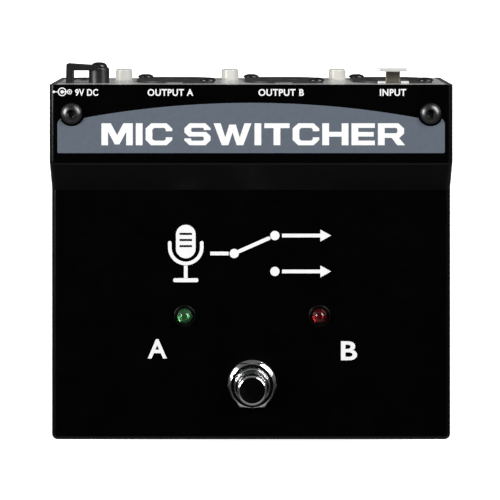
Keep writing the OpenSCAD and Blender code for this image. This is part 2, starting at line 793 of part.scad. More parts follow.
module board_screws() color("#c8ccd0") for (at = standoffs)
    on_board(at) difference() {
        zturn(screw_line(head_r = 2.7, head_h = 1.6, shank_r = 1.25, length = 6, z = 0));
        cross_recess(1.7, 0.9);
    }

module isolation_transformer() color("#9fa3a6")
    on_board(transformer_at) translate([0, 0, can_z]) difference() {
        extrude_z(plate(-11.5, 11.5, -9.5, 9.5, 2.5), 0, 19);
        // rolled seam round the foot of the can
        difference() {
            mid_box(15, -15, 15, 1.6, 2.2);
            extrude_z(plate(-11.2, 11.2, -9.2, 9.2, 2.3), -1, 4);
        }
    }

module transformer_base() color("#2b2b2c") on_board(transformer_at) {
    mid_box(12, -10, 10, 0.6, can_z);
    for (x = [-9, 9]) for (y = [-7, 7]) zcyl(1.4, 0, 1, [x, y]);
}

module relays() color("#e9e7df") for (at = relays_at) on_board(at) difference() {
    extrude_z(plate(-5, 5, -10, 10, 0.8), 0, 10.5);
    // step across the front edge of the top
    mid_box(6, -10.5, -9.4, 9.7, 11.4);
}

module dc_converter() color("#202022") on_board(converter_at) {
    extrude_z(plate(-6, 6, -9.75, 9.75, 0.5), 0, 10.2);
    extrude_z(plate(-5.2, 5.2, -9, 9, 0.5), 10, 10.5);
}

module electrolytic_capacitors() color("#1c2a4a")
    for (at = capacitors_at) on_board(at)
        zturn([[0, 0], [3.1, 0], [3.1, 1], [2.8, 1.3], [3.1, 1.6], [3.1, 10.6],
            [2.8, 11], [0, 11]]);

// A row of ten along X, staggered in Y
module resistors() color("#7fb0c8") for (i = [0:9])
    on_board([-46 + i * 8.6, -11.5 + (i % 2) * 3.4]) {
        translate([-3, 0, 1.4]) rotate([0, 90, 0]) zturn(
            [[0, 0], [1.1, 0], [1.2, 0.4], [1.2, 1.3], [0.95, 1.7], [0.95, 4.3],
             [1.2, 4.7], [1.2, 5.6], [1.1, 6], [0, 6]]);
        for (side = [-1, 1]) {
            at_x(side * 3.4) mid_box(0.45, -0.25, 0.25, 1.15, 1.65);
            at_x(side * 3.6) mid_box(0.25, -0.25, 0.25, 0, 1.65);
        }
    }

module op_amp_chips() color("#19191a") for (at = chips_at) on_board(at) {
    difference() {
        mid_box(4.9, -3.2, 3.2, 0.6, 3.9);
        zcyl(0.7, 3.6, 4.4, [-3.9, 0]);
    }
    for (i = [0:3]) for (side = [-1, 1])
        at_xy([-3.81 + i * 2.54, side * 3.5]) mid_box(0.3, -0.35, 0.35, 0, 2.4);
}

module board_headers() color("#e6e2d2") {
    on_board([foot_x, header_y]) mid_box(7, -header_hy, header_hy, 0, 3.6);
    // open-topped header in the middle of the board
    on_board([-2, -3]) difference() {
        mid_box(8, -1.5, 3.5, 0, 6.4);
        mid_box(6.8, -0.5, 2.5, 2.4, 7.4);
    }
}

// One face of the ribbon as [y, z] points, hanging from height z
function ribbon_line(from_y, to_y, z, steps = 12) = [for (i = [0:steps])
    [from_y + (to_y - from_y) * i / steps, z - 0.9 * sin(180 * i / steps)]];

// Flat cable from the footswitch lugs to the header, sagging a little
module switch_ribbon() color("#8a8d90") {
    gap = 0.02;
    lug_end = foot_y + lug_pitch + lug_half_t + gap;
    header_end = header_y - header_hy - gap;
    extrude_x(concat(ribbon_line(lug_end, header_end, 15.1),
        ribbon_line(header_end, lug_end, 14.3)), foot_x - 6, foot_x + 6);
}

top_cover();
base_chassis();
base_pad();
cover_screws();
clinch_nuts();
bottom_screws();
bottom_nuts();
footswitch_cap();
footswitch_spring();
footswitch_bushing();
footswitch_nut();
footswitch_washer();
footswitch_lock_washer();
footswitch_inner_nut();
footswitch_frame();
footswitch_body();
footswitch_terminals();
led_green();
led_red();
led_bezels();
led_leads();
led_spacers();
led_board();
led_standoffs();
output_a_shell();
output_a_insert();
output_a_pins();
output_b_shell();
output_b_insert();
output_b_pins();
input_shell();
input_insert();
input_contacts();
input_release_tab();
input_latch();
input_latch_pin();
input_latch_guide();
connector_screws();
connector_nuts();
button_left();
button_centre();
button_right();
button_switches();
dc_jack_body();
dc_jack_contacts();
cable_clamp();
clamp_screw();
clamp_nut();
main_board();
board_standoffs();
board_screws();
isolation_transformer();
transformer_base();
relays();
dc_converter();
electrolytic_capacitors();
resistors();
op_amp_chips();
board_headers();
switch_ribbon();
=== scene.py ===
import json
import math

import bmesh
import bpy
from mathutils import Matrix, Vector


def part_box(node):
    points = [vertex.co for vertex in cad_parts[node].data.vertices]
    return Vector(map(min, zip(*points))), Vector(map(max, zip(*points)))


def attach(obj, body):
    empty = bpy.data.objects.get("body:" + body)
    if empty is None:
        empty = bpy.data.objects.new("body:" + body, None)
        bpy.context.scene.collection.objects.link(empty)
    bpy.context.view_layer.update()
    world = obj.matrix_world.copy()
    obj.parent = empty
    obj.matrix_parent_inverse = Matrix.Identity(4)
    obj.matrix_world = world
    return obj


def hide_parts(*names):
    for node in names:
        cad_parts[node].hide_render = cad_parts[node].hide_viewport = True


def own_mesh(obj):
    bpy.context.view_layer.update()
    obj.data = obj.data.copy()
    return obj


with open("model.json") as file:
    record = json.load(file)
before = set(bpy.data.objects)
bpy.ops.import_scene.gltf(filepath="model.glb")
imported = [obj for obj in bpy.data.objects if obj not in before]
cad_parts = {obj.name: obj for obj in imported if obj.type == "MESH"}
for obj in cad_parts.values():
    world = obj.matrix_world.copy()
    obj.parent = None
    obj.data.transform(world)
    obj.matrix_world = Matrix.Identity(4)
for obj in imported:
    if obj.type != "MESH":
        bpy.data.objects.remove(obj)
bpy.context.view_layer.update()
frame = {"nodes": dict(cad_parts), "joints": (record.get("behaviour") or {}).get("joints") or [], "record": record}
nodes = frame["nodes"]
scene = bpy.context.scene
MM = 0.001

# ---------------------------------------------------------------------------
# materials
# ---------------------------------------------------------------------------


class Build:
    """A node material with a few short-hands. Texture space is the row frame in millimetres."""

    def __init__(self, name):
        self.m = bpy.data.materials.new(name)
        self.m.use_nodes = True
        self.nt = self.m.node_tree
        self.bsdf = self.nt.nodes["Principled BSDF"]
        tc = self.nt.nodes.new("ShaderNodeTexCoord")
        mp = self.nt.nodes.new("ShaderNodeMapping")
        mp.inputs["Scale"].default_value = (1000.0, 1000.0, 1000.0)
        self.nt.links.new(tc.outputs["Object"], mp.inputs["Vector"])
        self.co = mp.outputs["Vector"]

    def link(self, a, b):
        self.nt.links.new(a, b)

    def set(self, name, value):
        if name in self.bsdf.inputs:
            self.bsdf.inputs[name].default_value = value

    def stretch(self, scale):
        mp = self.nt.nodes.new("ShaderNodeMapping")
        mp.inputs["Scale"].default_value = scale
        self.link(self.co, mp.inputs["Vector"])
        return mp.outputs["Vector"]

    def noise(self, cell, detail=3.0, rough=0.55, co=None):
        n = self.nt.nodes.new("ShaderNodeTexNoise")
        n.inputs["Scale"].default_value = 1.0 / cell
        n.inputs["Detail"].default_value = detail
        n.inputs["Roughness"].default_value = rough
        self.link(co or self.co, n.inputs["Vector"])
        return n.outputs["Fac"]

    def voronoi(self, cell, co=None, feature="F1"):
        n = self.nt.nodes.new("ShaderNodeTexVoronoi")
        n.feature = feature
        n.inputs["Scale"].default_value = 1.0 / cell
        self.link(co or self.co, n.inputs["Vector"])
        return n.outputs["Distance"]

    def ramp(self, fac, stops, mode="LINEAR"):
        r = self.nt.nodes.new("ShaderNodeValToRGB")
        r.color_ramp.interpolation = mode
        els = r.color_ramp.elements
        while len(els) < len(stops):
            els.new(0.5)
        for e, (p, c) in zip(els, stops):
            e.position = p
            e.color = (*c, 1.0) if len(c) == 3 else c
        self.link(fac, r.inputs["Fac"])
        return r.outputs["Color"]

    def remap(self, v, a, b, c, d):
        n = self.nt.nodes.new("ShaderNodeMapRange")
        for i, x in zip(("From Min", "From Max", "To Min", "To Max"), (a, b, c, d)):
            n.inputs[i].default_value = x
        self.link(v, n.inputs["Value"])
        return n.outputs["Result"]

    def math(self, op, a, b=None, c=None):
        n = self.nt.nodes.new("ShaderNodeMath")
        n.operation = op
        for i, x in enumerate((a, b, c)):
            if x is None:
                continue
            if isinstance(x, (int, float)):
                n.inputs[i].default_value = x
            else:
                self.link(x, n.inputs[i])
        return n.outputs[0]

    def axis(self, which):
        s = self.nt.nodes.new("ShaderNodeSeparateXYZ")
        self.link(self.co, s.inputs[0])
        return s.outputs[which]

    def mix(self, fac, a, b):
        n = self.nt.nodes.new("ShaderNodeMix")
        n.data_type = "RGBA"
        for key, x in (("Factor_Float", fac), ("A_Color", a), ("B_Color", b)):
            sock = next(s for s in n.inputs if s.identifier == key)
            if isinstance(x, (tuple, list)):
                sock.default_value = (*x, 1.0) if len(x) == 3 else x
            elif isinstance(x, (int, float)):
                sock.default_value = x
            else:
                self.link(x, sock)
        return next(s for s in n.outputs if s.identifier == "Result_Color")

    def bump(self, *layers):
        """Each layer is (height, depth in mm)."""
        last = None
        for h, depth in layers:
            b = self.nt.nodes.new("ShaderNodeBump")
            b.inputs["Strength"].default_value = 1.0
            b.inputs["Distance"].default_value = depth * MM
            self.link(h, b.inputs["Height"])
            if last is not None:
                self.link(last, b.inputs["Normal"])
            last = b.outputs["Normal"]
        self.link(last, self.bsdf.inputs["Normal"])

    def colour(self, x):
        if isinstance(x, (tuple, list)):
            self.set("Base Color", (*x, 1.0))
        else:
            self.link(x, self.bsdf.inputs["Base Color"])

    def rough(self, x):
        if isinstance(x, (int, float)):
            self.set("Roughness", x)
        else:
            self.link(x, self.bsdf.inputs["Roughness"])


def scaled(c, k):
    return tuple(min(1.0, x * k) for x in c)


def coated(name, base, rough, rvar=0.05, cvar=0.12, cell=8.0, peel=1.1, depth=0.004,
           grain=0.0, grain_cell=0.25, spec=0.5, coat=0.0):
    """Paint or moulded plastic: uneven gloss, slow colour drift, orange peel and a fine grain."""
    b = Build(name)
    drift = b.noise(cell, 4.0)
    b.colour(b.ramp(drift, [(0.3, scaled(base, 1 - cvar)), (0.7, scaled(base, 1 + cvar))]))
    fine = b.noise(peel, 2.0)
    b.rough(b.remap(b.noise(cell * 0.35, 5.0, 0.65), 0.3, 0.7, rough - rvar, rough + rvar))
    layers = [(fine, depth)]
    if grain:
        layers.append((b.noise(grain_cell, 2.0), grain))
    b.bump(*layers)
    b.set("Specular IOR Level", spec)
    b.set("Coat Weight", coat)
    b.set("Coat Roughness", 0.08)
    return b.m


def metal(name, base, rough, rvar=0.06, cvar=0.10, cell=3.0, brush=None, depth=0.0012,
          aniso=0.0, smudge=0.0):
    """Bare or plated metal with fine machining or wear."""
    b = Build(name)
    b.set("Metallic", 1.0)
    co = b.stretch(brush) if brush else b.co
    lines = b.noise(0.35, 4.0, 0.7, co)
    drift = b.noise(cell, 4.0)
    b.colour(b.ramp(drift, [(0.25, scaled(base, 1 - cvar)), (0.75, scaled(base, 1 + cvar))]))
    r = b.remap(lines, 0.25, 0.75, rough - rvar, rough + rvar)
    if smudge:
        r = b.math("ADD", r, b.remap(b.noise(cell * 1.7, 5.0, 0.7), 0.5, 0.8, 0.0, smudge))
    b.rough(r)
    b.bump((lines, depth))
    b.set("Anisotropic", aniso)
    return b.m


M = {}
# black enamel of the cover: semi-gloss, fine orange peel, dust-fine specks
b = Build("case_enamel")
b.colour(b.ramp(b.noise(14, 3.0), [(0.3, (0.0003, 0.0003, 0.0004)), (0.7, (0.0007, 0.0007, 0.0008))]))
b.rough(b.remap(b.noise(6.0, 6.0, 0.65), 0.3, 0.7, 0.19, 0.24))
b.bump((b.noise(1.3, 2.0), 0.0026), (b.noise(0.32, 1.0), 0.0007))
b.set("Specular IOR Level", 0.30)
M["case_enamel"] = b.m

b = Build("panel_enamel")
b.colour(b.ramp(b.noise(10, 3.0), [(0.3, (0.49, 0.49, 0.48)), (0.7, (0.54, 0.54, 0.53))]))
b.rough(b.remap(b.noise(5.0, 6.0, 0.65), 0.3, 0.7, 0.22, 0.30))
b.bump((b.noise(0.9, 2.0), 0.006), (b.noise(0.25, 1.0), 0.001))
M["panel_enamel"] = b.m

# closed-cell rubber sheet: matte, pitted, its near-black drifting slowly in tone
b = Build("pad_rubber")
pits = b.voronoi(0.55)
b.colour(b.ramp(b.noise(7, 5.0, 0.7), [(0.3, (0.010, 0.010, 0.010)), (0.75, (0.022, 0.022, 0.021))]))
b.rough(b.remap(b.noise(2.0, 4.0), 0.3, 0.7, 0.78, 0.92))
b.bump((pits, 0.09), (b.noise(0.2, 2.0), 0.01))
b.set("Specular IOR Level", 0.35)
M["pad_rubber"] = b.m

M["burnished_steel"] = metal("burnished_steel", (0.085, 0.085, 0.088), 0.34, 0.10, 0.22, 1.2, None, 0.006, smudge=0.12)
M["chrome_plate"] = metal("chrome_plate", (0.72, 0.72, 0.73), 0.085, 0.03, 0.05, 4.0, None, 0.0005, smudge=0.10)
# nickel plate: the pressed outer end is bead blasted and rougher, and its colour is painted near-white as a painted
# highlight; the inner length is smooth, darker and browner
b = Build("satin_nickel")
b.set("Metallic", 1.0)
blasted_and_lit_end = b.remap(b.axis(1), 63.1, 63.4, 0.0, 1.0)
# painted highlight: the outer end's colour is near-white, the inner length darker and browner
b.colour(b.mix(blasted_and_lit_end, b.ramp(b.noise(2.0, 4.0), [(0.3, (0.39, 0.355, 0.29)), (0.7, (0.50, 0.46, 0.39))]), (0.90, 0.89, 0.87)))
b.rough(b.math("ADD", b.remap(b.noise(0.35, 4.0, 0.7, b.stretch((1, 6, 1))), 0.25, 0.75, 0.29, 0.37), b.math("MULTIPLY", blasted_and_lit_end, 0.22)))
b.bump((b.noise(0.35, 4.0, 0.7), 0.002))
M["satin_nickel"] = b.m
M["bright_nickel"] = metal("bright_nickel", (0.92, 0.92, 0.91), 0.55, 0.05, 0.03, 2.0, None, 0.002)
M["zinc_plate"] = metal("zinc_plate", (0.56, 0.57, 0.55), 0.34, 0.08, 0.12, 2.5, None, 0.003)
M["spring_steel"] = metal("spring_steel", (0.42, 0.43, 0.44), 0.28, 0.08, 0.10, 1.0, (1, 1, 6), 0.002)
M["tinned_brass"] = metal("tinned_brass", (0.66, 0.60, 0.46), 0.36, 0.08, 0.14, 1.5, None, 0.003)
M["contact_silver"] = metal("contact_silver", (0.74, 0.74, 0.73), 0.20, 0.05, 0.07, 2.0, (1, 0.2, 1), 0.001)
M["contact_gold"] = metal("contact_gold", (0.88, 0.62, 0.24), 0.20, 0.05, 0.07, 2.0, (1, 0.2, 1), 0.001)
M["black_screw"] = metal("black_screw", (0.055, 0.055, 0.06), 0.34, 0.08, 0.20, 1.2, None, 0.004)
M["can_metal"] = metal("can_metal", (0.48, 0.49, 0.50), 0.36, 0.07, 0.10, 5.0, (0.3, 0.3, 5), 0.002)

M["switch_housing"] = coated("switch_housing", (0.018, 0.05, 0.16), 0.45, 0.06, 0.10, 6.0, 0.8, 0.004, 0.002)
M["bezel_plastic"] = coated("bezel_plastic", (0.0018, 0.0018, 0.0019), 0.34, 0.05, 0.1, 3.0, 0.9, 0.002, spec=0.2)
M["spacer_nylon"] = coated("spacer_nylon", (0.62, 0.60, 0.53), 0.5, 0.06, 0.06, 4.0, 0.7, 0.003)
M["connector_coat"] = coated("connector_coat", (0.012, 0.012, 0.0125), 0.52, 0.07, 0.2, 4.0, 0.45, 0.012, 0.006, 0.25, 0.42)
M["insulator"] = coated("insulator", (0.006, 0.006, 0.006), 0.50, 0.07, 0.15, 3.0, 0.6, 0.004, 0.002)
M["button_plastic"] = coated("button_plastic", (0.56, 0.55, 0.51), 0.26, 0.05, 0.05, 3.0, 0.8, 0.003, 0.0015)
M["clamp_nylon"] = coated("clamp_nylon", (0.0055, 0.0055, 0.006), 0.40, 0.08, 0.2, 3.0, 0.7, 0.010, 0.004, 0.2)
M["relay_plastic"] = coated("relay_plastic", (0.66, 0.65, 0.60), 0.42, 0.05, 0.04, 5.0, 0.9, 0.003)
M["module_black"] = coated("module_black", (0.012, 0.012, 0.012), 0.52, 0.07, 0.15, 4.0, 0.4, 0.006, 0.003)
M["chip_epoxy"] = coated("chip_epoxy", (0.010, 0.010, 0.010), 0.58, 0.06, 0.15, 2.0, 0.25, 0.006, 0.003, 0.1)
M["header_nylon"] = coated("header_nylon", (0.64, 0.60, 0.48), 0.48, 0.06, 0.06, 4.0, 0.7, 0.003)

# green solder mask with copper tracks showing through
b = Build("board_mask")
grid = b.nt.nodes.new("ShaderNodeTexBrick")
grid.inputs["Scale"].default_value = 1.0
grid.inputs["Brick Width"].default_value = 9.0
grid.inputs["Row Height"].default_value = 2.54
grid.inputs["Mortar Size"].default_value = 0.22
grid.inputs["Color1"].default_value = (0.008, 0.085, 0.032, 1)
grid.inputs["Color2"].default_value = (0.010, 0.100, 0.040, 1)
grid.inputs["Mortar"].default_value = (0.030, 0.190, 0.075, 1)
b.link(b.co, grid.inputs["Vector"])
b.colour(b.mix(b.remap(b.noise(12, 3.0), 0.4, 0.6, 0.0, 0.35), grid.outputs["Color"], (0.006, 0.07, 0.03)))
b.rough(b.remap(b.noise(3.0, 4.0), 0.3, 0.7, 0.22, 0.34))
b.bump((grid.outputs["Fac"], 0.02), (b.noise(0.5, 2.0), 0.004))
M["board_mask"] = b.m

# shrunk sleeve over an aluminium can, bare at the top
b = Build("capacitor_sleeve")
top = b.math("GREATER_THAN", b.axis(2), 24.15)
b.colour(b.mix(top, b.ramp(b.noise(4, 3.0), [(0.3, (0.010, 0.018, 0.07)), (0.7, (0.016, 0.028, 0.10))]), (0.6, 0.6, 0.6)))
b.link(top, b.bsdf.inputs["Metallic"])
b.rough(b.remap(b.noise(1.2, 4.0), 0.3, 0.7, 0.26, 0.36))
b.bump((b.noise(0.8, 2.0), 0.01))
M["capacitor_sleeve"] = b.m

# lacquered body with colour bands, tinned leads below it
b = Build("resistor_coat")
u = b.math("FRACT", b.math("DIVIDE", b.math("ADD", b.axis(0), 46 + 4.3 + 86.0), 8.6))
bands = b.ramp(u, [(0.0, (0.16, 0.36, 0.46)), (0.30, (0.20, 0.06, 0.02)), (0.345, (0.16, 0.36, 0.46)),
                   (0.42, (0.002, 0.002, 0.002)), (0.465, (0.16, 0.36, 0.46)), (0.54, (0.45, 0.02, 0.02)),
                   (0.585, (0.16, 0.36, 0.46)), (0.66, (0.50, 0.28, 0.03)), (0.705, (0.16, 0.36, 0.46))], "CONSTANT")
b.colour(b.mix(b.remap(b.noise(0.8, 3.0), 0.4, 0.6, 0.0, 0.12), bands, (0.1, 0.1, 0.1)))
b.rough(b.remap(b.noise(0.6, 3.0), 0.3, 0.7, 0.26, 0.38))
b.bump((b.noise(0.5, 2.0), 0.006))
M["resistor_coat"] = b.m

# flat cable, ribbed between its cores, with painted shade darkening the grooves
b = Build("ribbon_pvc")
w = b.nt.nodes.new("ShaderNodeTexWave")
w.bands_direction = "X"
w.inputs["Scale"].default_value = 1.0 / 1.27 * 0.5
b.link(b.co, w.inputs["Vector"])
# painted shade: the colour follows the ribs, with the grooves darker and the raised cores lighter
b.colour(b.ramp(w.outputs["Fac"], [(0.1, (0.16, 0.165, 0.17)), (0.6, (0.34, 0.35, 0.36))]))
b.rough(b.remap(b.noise(1.5, 3.0), 0.3, 0.7, 0.42, 0.54))
b.bump((w.outputs["Fac"], 0.15), (b.noise(0.4, 2.0), 0.004))
M["ribbon_pvc"] = b.m


def lens(name, tint, dark):
    """Tinted epoxy: see-through, slightly milky, with a few bubbles and flow lines."""
    b = Build(name)
    b.colour(b.ramp(b.noise(1.6, 3.0), [(0.3, scaled(tint, 0.9)), (0.7, tint)]))
    b.rough(b.remap(b.noise(0.8, 3.0), 0.3, 0.7, 0.05, 0.11))
    b.set("Transmission Weight", 0.86)
    b.set("IOR", 1.5)
    b.set("Subsurface Weight", 0.0)
    b.bump((b.noise(1.1, 2.0), 0.003))
    return b.m


M["lens_green"] = lens("lens_green", (0.085, 0.35, 0.13), (0.02, 0.1, 0.03))
M["lens_red"] = lens("lens_red", (0.22, 0.009, 0.013), (0.1, 0.0, 0.0))

# printed ink
M["ink_white"] = coated("ink_white", (0.82, 0.82, 0.82), 0.42, 0.05, 0.03, 3.0, 0.5, 0.004)
b = Build("ink_slate")
b.colour(b.ramp(b.noise(1.4, 4.0, 0.6), [(0.3, (0.095, 0.113, 0.141)), (0.7, (0.105, 0.125, 0.155))]))
b.rough(b.remap(b.noise(2.0, 4.0), 0.3, 0.7, 0.36, 0.44))
b.bump((b.noise(0.5, 2.0), 0.004))
M["ink_slate"] = b.m
M["die_metal"] = metal("die_metal", (0.70, 0.68, 0.62), 0.3, 0.06, 0.1, 1.0, None, 0.002)

slots = {s["node"]: s["material_slot"] for s in frame["record"]["subparts"]}

# ---------------------------------------------------------------------------
# CAD nodes: softened edges, smooth curves, finishes
# ---------------------------------------------------------------------------

SOFT = {  # edge softening in mm
    "top_cover": 0.35, "base_chassis": 0.25, "base_pad": 0.45, "cable_clamp": 0.25,
    "output_a_shell": 0.22, "output_b_shell": 0.22, "input_shell": 0.22,
    "footswitch_nut": 0.14, "footswitch_washer": 0.10, "footswitch_bushing": 0.08,
    "footswitch_cap": 0.10, "footswitch_body": 0.3, "isolation_transformer": 0.2,
    "relays": 0.25, "dc_converter": 0.25, "input_release_tab": 0.12, "input_latch": 0.1,
    "button_left": 0.12, "button_centre": 0.12, "button_right": 0.12,
    "cover_screws": 0.07, "connector_screws": 0.06, "clamp_screw": 0.06, "board_screws": 0.06,
    "main_board": 0.08, "led_board": 0.08, "switch_ribbon": 0.1,
}


def soften(o, width, angle=28):
    me = o.data
    if "custom_normal" in me.attributes:
        me.attributes.remove(me.attributes["custom_normal"])
    me.polygons.foreach_set("use_smooth", [True] * len(me.polygons))
    w = o.modifiers.new("weld", "WELD")
    w.merge_threshold = 2e-6
    d = o.modifiers.new("planar", "DECIMATE")
    d.decimate_type = "DISSOLVE"
    d.angle_limit = math.radians(0.4)
    if width:
        v = o.modifiers.new("edges", "BEVEL")
        v.width = width * MM
        v.segments = 2
        v.limit_method = "ANGLE"
        v.angle_limit = math.radians(angle)
        v.use_clamp_overlap = True
        # where a bevel is pinched to nothing, drop the slivers it leaves
        c = o.modifiers.new("slivers", "WELD")
        c.merge_threshold = 5e-7
    n = o.modifiers.new("normals", "WEIGHTED_NORMAL")
    n.weight = 60
    n.keep_sharp = False


LOOK = {"input_release_tab": "satin_nickel", "input_latch_guide": "bright_nickel"}  # same plating, brushed finish
for name, o in nodes.items():
    o.data.materials.clear()
    o.data.materials.append(M[LOOK.get(name, slots[name])])
    soften(o, SOFT.get(name, 0.05))

# ---------------------------------------------------------------------------
# helpers for pieces built here
# ---------------------------------------------------------------------------


def piece(name, bm, mat, body="case", smooth=True, weld=True):
    if weld:
        bmesh.ops.remove_doubles(bm, verts=bm.verts, dist=1e-7)
    bmesh.ops.recalc_face_normals(bm, faces=bm.faces)
    me = bpy.data.meshes.new(name)
    bm.to_mesh(me)
    bm.free()
    me.polygons.foreach_set("use_smooth", [smooth] * len(me.polygons))
    o = bpy.data.objects.new(name, me)
    scene.collection.objects.link(o)
    me.materials.append(M[mat])
    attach(o, body)
    return o


def lathe(bm, line, at=(0, 0, 0), seg=64):
    """Turns [(radius, z)] round Z at a point; millimetres."""
    rings = []
    for r, z in line:
        if r < 1e-6:
            rings.append([bm.verts.new(((at[0]) * MM, at[1] * MM, (at[2] + z) * MM))])
        else:
            rings.append([bm.verts.new(((at[0] + r * math.cos(2 * math.pi * i / seg)) * MM,
                                        (at[1] + r * math.sin(2 * math.pi * i / seg)) * MM,
                                        (at[2] + z) * MM)) for i in range(seg)])
    for a, c in zip(rings, rings[1:]):
        for i in range(seg):
            j = (i + 1) % seg
            if len(a) == 1 and len(c) == 1:
                continue
            if len(a) == 1:
                bm.faces.new((a[0], c[j], c[i]))
            elif len(c) == 1:
                bm.faces.new((a[i], a[j], c[0]))
            else:
                bm.faces.new((a[i], a[j], c[j], c[i]))


def evaluated_mesh(o):
    dg = bpy.context.evaluated_depsgraph_get()
    e = o.evaluated_get(dg)
    return bpy.data.meshes.new_from_object(e)


def solid_from_loops(loops, z0, z1):
    """A closed flat solid from outlines in mm; an outline inside another is a hole."""
    cu = bpy.data.curves.new("tmp_outline", "CURVE")
    cu.dimensions = "2D"
    cu.fill_mode = "BOTH"
    cu.extrude = (z1 - z0) / 2 * MM
    for loop in loops:
        s = cu.splines.new("POLY")
        s.points.add(len(loop) - 1)
        for p, (x, y) in zip(s.points, loop):
            p.co = (x * MM, y * MM, 0, 1)
        s.use_cyclic_u = True
    o = bpy.data.objects.new("tmp_outline", cu)
    scene.collection.objects.link(o)
    bpy.context.view_layer.update()
    me = evaluated_mesh(o)
    bpy.data.objects.remove(o)
    bpy.data.curves.remove(cu)
    bm = bmesh.new()
    bm.from_mesh(me)
    bpy.data.meshes.remove(me)
    for v in bm.verts:
        v.co.z += (z0 + z1) / 2 * MM
    return bm


def text_solid(body, box, z0, z1, weight=0.0, spacing=1.08):
    """Generic lettering scaled to fill box = (x0, x1, y0, y1) in mm."""
    cu = bpy.data.curves.new("tmp_text", "FONT")
    cu.body = body
    cu.size = 10.0
    cu.offset = weight
    cu.space_character = spacing
    cu.extrude = 0.5
    cu.fill_mode = "BOTH"
    cu.resolution_u = 6
    o = bpy.data.objects.new("tmp_text", cu)
    scene.collection.objects.link(o)
    bpy.context.view_layer.update()
    me = evaluated_mesh(o)
    bpy.data.objects.remove(o)
    bpy.data.curves.remove(cu)
    bm = bmesh.new()
    bm.from_mesh(me)
    bpy.data.meshes.remove(me)
    xs = [v.co.x for v in bm.verts]
    ys = [v.co.y for v in bm.verts]
    ax, bx, ay, by = min(xs), max(xs), min(ys), max(ys)
    x0, x1, y0, y1 = box
    for v in bm.verts:
        v.co.x = (x0 + (v.co.x - ax) / (bx - ax) * (x1 - x0)) * MM
        v.co.y = (y0 + (v.co.y - ay) / (by - ay) * (y1 - y0)) * MM
        v.co.z = (z1 if v.co.z > 0 else z0) * MM
    return bm


def join(*bms):
    out = bmesh.new()
    for b_ in bms:
        me = bpy.data.meshes.new("tmp_join")
        b_.to_mesh(me)
        b_.free()
        out.from_mesh(me)
        bpy.data.meshes.remove(me)
    return out


def circle(cx, cy, r, n=40, a0=0.0, a1=360.0):
    full = abs(a1 - a0) >= 359.9
    k = n if full else n + 1
    return [(cx + r * math.cos(math.radians(a0 + (a1 - a0) * i / n)),
             cy + r * math.sin(math.radians(a0 + (a1 - a0) * i / n))) for i in range(k)]


def stroke(points, w, round_ends=True):
    """The outline of a line of width w through points."""
    left, right = [], []
    n = len(points)
    for i, p in enumerate(points):
        a = Vector(points[max(i - 1, 0)])
        c = Vector(points[min(i + 1, n - 1)])
        d = (c - a).normalized()
        nrm = Vector((-d.y, d.x)) * w / 2
        left.append((p[0] + nrm.x, p[1] + nrm.y))
        right.append((p[0] - nrm.x, p[1] - nrm.y))
    if not round_ends:
        return left + right[::-1]
    d = (Vector(points[-1]) - Vector(points[-2])).normalized()
    a = math.degrees(math.atan2(d.y, d.x))
    cap1 = circle(points[-1][0], points[-1][1], w / 2, 8, a + 90, a - 90)[1:-1]
    d = (Vector(points[0]) - Vector(points[1])).normalized()
    a = math.degrees(math.atan2(d.y, d.x))
    cap0 = circle(points[0][0], points[0][1], w / 2, 8, a + 90, a - 90)[1:-1]
    return left + cap1 + right[::-1] + cap0


def round_corner(a, p, c, r, n=6):
    a, p, c = Vector(a), Vector(p), Vector(c)
    u, v = (a - p).normalized(), (c - p).normalized()
    half = math.acos(max(-1, min(1, u.dot(v)))) / 2
    m = p + (u + v).normalized() * (r / math.sin(half))
    s, e = p + u * (r / math.tan(half)) - m, p + v * (r / math.tan(half)) - m
    a0, a1 = math.atan2(s.y, s.x), math.atan2(e.y, e.x)
    d = a1 - a0
    d = d - 2 * math.pi if d > math.pi else d + 2 * math.pi if d < -math.pi else d
    return [(m.x + r * math.cos(a0 + d * i / n), m.y + r * math.sin(a0 + d * i / n)) for i in range(n + 1)]


# ---------------------------------------------------------------------------
# printed graphics: thin ink layers on the two decks; millimetres in the row frame
# ---------------------------------------------------------------------------

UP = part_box("top_cover")[1].z * 1000
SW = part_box("footswitch_washer")
LOW = SW[0].z * 1000  # the washer lies on the lower deck
T0, T1, T2 = -0.02, 0.025, 0.045  # ink layers above the deck


def middle(node):
    lo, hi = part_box(node)
    return (lo + hi) / 2 * 1000


sx, sy, notch = 59.3, 50.0, 4.25
arch_r, arch_top, bottom, edge = 308.9, 53.5, 36.9, 64.0
outline = round_corner((-edge, 45), (-edge, bottom), (0, bottom), 0.5)
outline += round_corner((0, bottom), (edge, bottom), (edge, 45), 0.5)
right = round_corner((edge, bottom), (edge, 48.6), (60.5, 48.6), 2.2)[:-2]
right += circle(sx, sy, notch, 16, -36, -158)
outline += right
x_a = 55.1
outline += [(x_a - 2 * x_a * i / 40,
             arch_top - arch_r + math.sqrt(arch_r ** 2 - (x_a - 2 * x_a * i / 40) ** 2)) for i in range(41)]
outline += [(-x, y) for x, y in right[::-1]]
piece("stripe_print", solid_from_loops([outline], UP + T0, UP + T1), "ink_slate", smooth=False)

